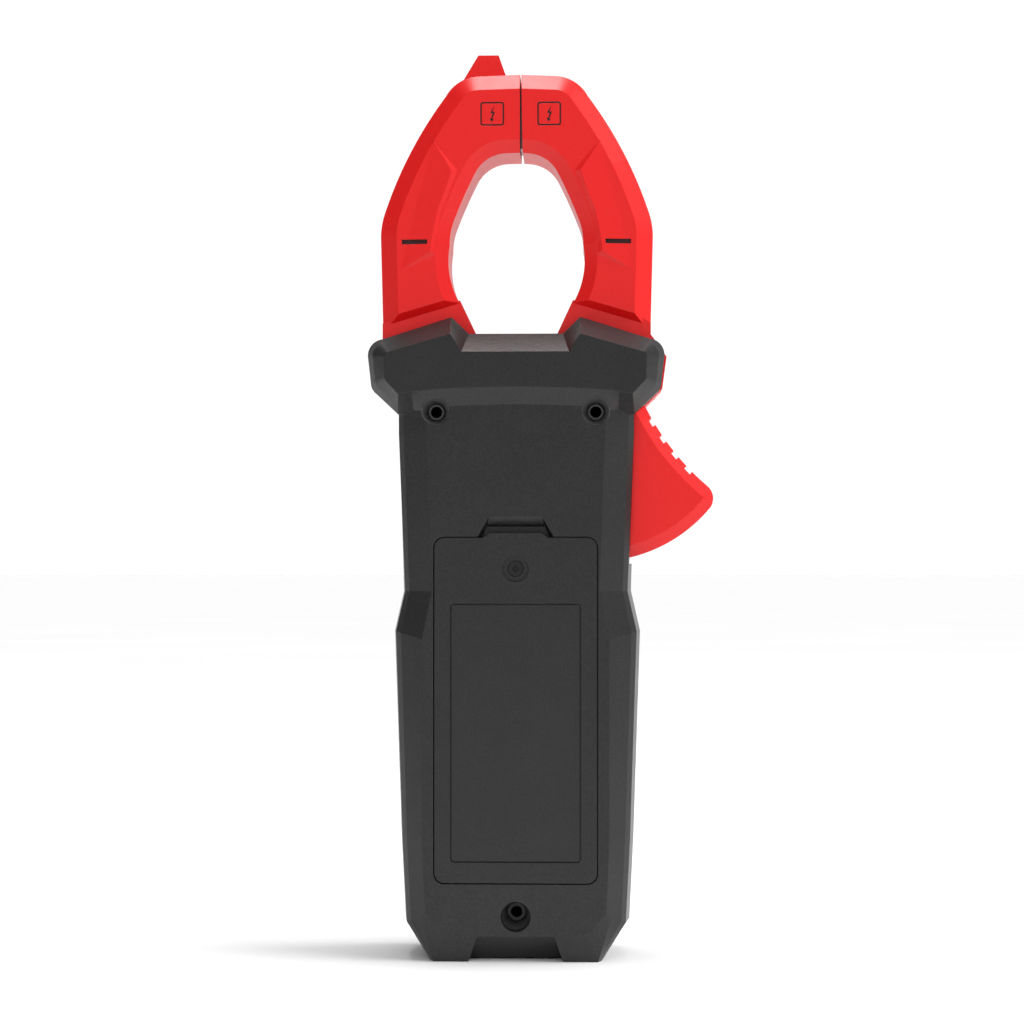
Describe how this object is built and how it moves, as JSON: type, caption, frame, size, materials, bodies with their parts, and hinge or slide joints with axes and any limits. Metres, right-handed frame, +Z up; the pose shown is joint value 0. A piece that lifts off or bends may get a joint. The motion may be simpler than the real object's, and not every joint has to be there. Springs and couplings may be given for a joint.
{
  "type": "clamp meter",
  "caption": "Hand-held clamp meter: spring-shut current jaws opened by a side trigger, rotary switch, keys, display, battery bay and two test-lead sockets.",
  "frame": {"origin": "middle of the flat bottom end, at the parting line of the covers", "axes": "+Z up along the meter, display side faces -Y, battery side +Y, trigger and moving jaw on the -X side"},
  "size_m": [0.0829, 0.0384, 0.2199],
  "materials": {
    "case_plastic": "fine spark-eroded grain",
    "door_plastic": "fine spark-eroded grain",
    "red_plastic": "satin, very fine grain",
    "black_steel": "black oxide",
    "core_steel": "laminated",
    "mark_ink": "matt fill",
    "white_ink": "matt fill",
    "copper": "enamelled copper",
    "bearing_brass": "turned",
    "spring_steel": "drawn wire",
    "bobbin_plastic": "moulded",
    "foam": "closed-cell foam",
    "cell_sleeve": "shrink sleeve",
    "board_laminate": "solder mask",
    "window_clear": "clear polycarbonate",
    "display_glass": "liquid-crystal glass",
    "guide_white": "diffuser",
    "key_rubber": "silicone",
    "key_plastic": "satin",
    "knob_plastic": "satin",
    "dial_print": "screen-printed film"
  },
  "bodies": {
    "casing": {"battery_cells": "cell_sleeve", "battery_plates": "spring_steel", "battery_springs": "spring_steel", "battery_tray": "bobbin_plastic", "board_posts": "bearing_brass", "board_screws": "spring_steel", "buzzer": "bobbin_plastic", "case_screws": "black_steel", "coil_bobbin": "bobbin_plastic", "coil_leads": "copper", "coil_winding": "copper", "dial_plate": "dial_print", "display_frame": "bobbin_plastic", "display_glass": "display_glass", "display_window": "window_clear", "field_antenna": "copper", "fixed_jaw_badge": "mark_ink", "fixed_jaw_core": "core_steel", "fixed_jaw_front_shell": "red_plastic", "fixed_jaw_rear_shell": "red_plastic", "front_cover": "case_plastic", "input_sockets": "bearing_brass", "key_mat": "key_rubber", "light_guide": "guide_white", "main_board": "board_laminate", "measuring_chips": "bobbin_plastic", "pivot_bush": "spring_steel", "rear_cover": "case_plastic", "return_spring": "spring_steel", "socket_block": "bobbin_plastic", "socket_collar_black": "bobbin_plastic", "socket_collar_red": "red_plastic", "socket_links": "bearing_brass", "switch_contacts": "copper", "zebra_strip": "key_rubber"},
    "lever": {"moving_jaw_rear_shell": "red_plastic", "moving_jaw_front_shell": "red_plastic", "moving_jaw_core": "core_steel", "moving_jaw_badge": "mark_ink", "lever_sleeve": "bearing_brass", "trigger": "red_plastic", "trigger_pin": "spring_steel"},
    "dial": {"dial_knob": "knob_plastic", "dial_pointer": "white_ink", "wiper_carrier": "guide_white", "wipers": "bearing_brass"},
    "battery_door": {"battery_door": "door_plastic", "door_screw": "black_steel", "door_pad": "foam"},
    "key_select": {"key_select": "key_plastic"},
    "key_range": {"key_range": "key_plastic"},
    "key_hold": {"key_hold": "key_plastic"},
    "key_light": {"key_light": "key_plastic"}
  },
  "joints": [
    {"name": "lever_pivot", "type": "hinge", "parent": "casing", "child": "lever", "pos_m": [-0.0191, 0, 0.1313], "axis": [0, -1, 0], "range_deg": [0, 24], "stiffness_Nm_per_rad": 0.5, "springref_deg": -28.65, "deforming": ["return_spring"]},
    {"name": "dial_turn", "type": "hinge", "parent": "casing", "child": "dial", "pos_m": [0, 0, 0.108], "axis": [0, 1, 0], "range_deg": [0, 200]},
    {"name": "key_select_press", "type": "slide", "parent": "casing", "child": "key_select", "axis": [0, 1, 0], "range_m": [0, 0.0006], "stiffness_N_per_m": 200, "springref_m": -0.003},
    {"name": "key_range_press", "type": "slide", "parent": "casing", "child": "key_range", "axis": [0, 1, 0], "range_m": [0, 0.0006], "stiffness_N_per_m": 200, "springref_m": -0.003},
    {"name": "key_hold_press", "type": "slide", "parent": "casing", "child": "key_hold", "axis": [0, 1, 0], "range_m": [0, 0.0006], "stiffness_N_per_m": 200, "springref_m": -0.003},
    {"name": "key_light_press", "type": "slide", "parent": "casing", "child": "key_light", "axis": [0, 1, 0], "range_m": [0, 0.0006], "stiffness_N_per_m": 200, "springref_m": -0.003},
    {"name": "door_lift", "type": "slide", "parent": "casing", "child": "battery_door", "axis": [0, 1, 0], "range_m": [0, 0.012]}
  ]
}
